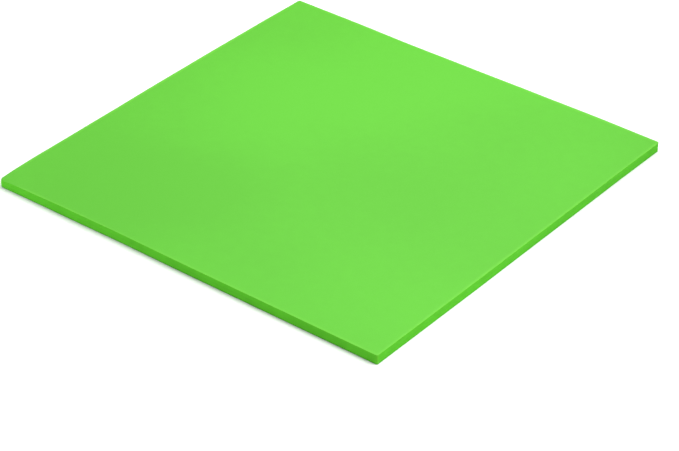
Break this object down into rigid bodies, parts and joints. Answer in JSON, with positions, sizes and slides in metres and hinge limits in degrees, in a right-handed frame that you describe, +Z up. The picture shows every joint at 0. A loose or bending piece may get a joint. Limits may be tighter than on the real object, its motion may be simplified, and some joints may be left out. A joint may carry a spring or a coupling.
{
  "type": "craft foam sheet",
  "caption": "Flat square sheet of closed-cell craft foam with smooth matte faces and blade-cut edges, raw stock to cut, glue or shape.",
  "frame": {"origin": "under the middle of the sheet, on the level surface that it lies on", "axes": "+Z up through the thickness, X along one side, Y along the other"},
  "size_m": [0.305, 0.305, 0.0063],
  "materials": {
    "foam": "matte"
  },
  "bodies": {
    "root": {"foam_sheet": "foam"}
  },
  "joints": []
}
